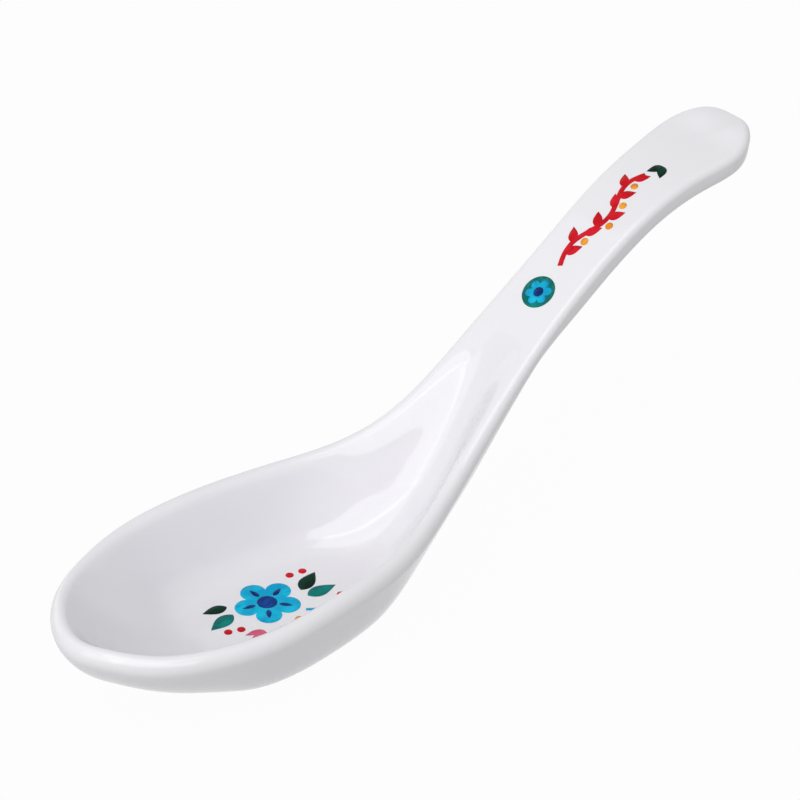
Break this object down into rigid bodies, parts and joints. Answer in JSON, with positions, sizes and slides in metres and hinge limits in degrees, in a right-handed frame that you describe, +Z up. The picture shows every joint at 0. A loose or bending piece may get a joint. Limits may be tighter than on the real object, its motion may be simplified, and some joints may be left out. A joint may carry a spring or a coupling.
{
  "type": "melamine soup spoon",
  "caption": "One-piece moulded soup spoon with a deep flat-footed oval bowl, a rising channelled neck, a flat rounded handle and small printed motifs.",
  "frame": {"origin": "middle of the flat foot under the bowl, on the table plane", "axes": "+X along the spoon from the bowl tip towards the handle end, +Y across the bowl, +Z up out of the bowl"},
  "size_m": [0.1394, 0.04, 0.056],
  "materials": {
    "melamine_white": "gloss, moulded",
    "ink_cyan": "printed ink under a clear glaze",
    "ink_navy": "printed ink under a clear glaze",
    "ink_pink": "printed ink under a clear glaze",
    "ink_red": "printed ink under a clear glaze",
    "ink_orange": "printed ink under a clear glaze",
    "ink_teal": "printed ink under a clear glaze",
    "ink_green": "printed ink under a clear glaze"
  },
  "bodies": {
    "root": {"spoon_body": "melamine_white", "bowl_print_cyan": "ink_cyan", "bowl_print_navy": "ink_navy", "bowl_print_pink": "ink_pink", "bowl_print_red": "ink_red", "bowl_print_orange": "ink_orange", "bowl_print_teal": "ink_teal", "bowl_print_green": "ink_green", "handle_print_red": "ink_red", "handle_print_teal": "ink_teal", "handle_print_cyan": "ink_cyan", "handle_print_navy": "ink_navy", "handle_print_orange": "ink_orange", "handle_print_green": "ink_green"}
  },
  "joints": []
}
